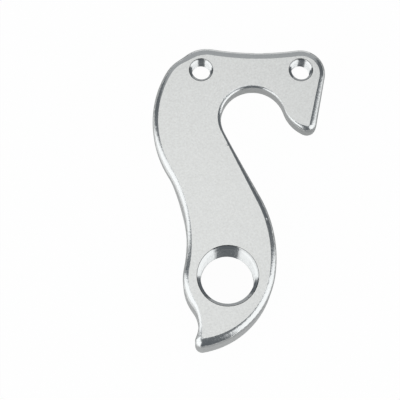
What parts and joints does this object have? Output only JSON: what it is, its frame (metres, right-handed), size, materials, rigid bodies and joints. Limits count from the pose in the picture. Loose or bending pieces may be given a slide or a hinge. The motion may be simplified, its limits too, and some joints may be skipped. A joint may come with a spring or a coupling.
{
  "type": "bicycle derailleur hanger",
  "caption": "Flat S-shaped aluminium hanger that hooks round a wheel axle at the top, screws to the frame and carries a rear derailleur in the large thread at its foot.",
  "frame": {"origin": "on the axis of the derailleur thread at the back face, which lies on the table", "axes": "+Z out of the front face along the thread, +Y up the shank towards the wheel axle, +X to the right seen from the front"},
  "size_m": [0.03, 0.0524, 0.0074],
  "materials": {
    "aluminium": "fine blasted face with brighter machined edges"
  },
  "bodies": {
    "root": {"hanger": "aluminium"}
  },
  "joints": []
}
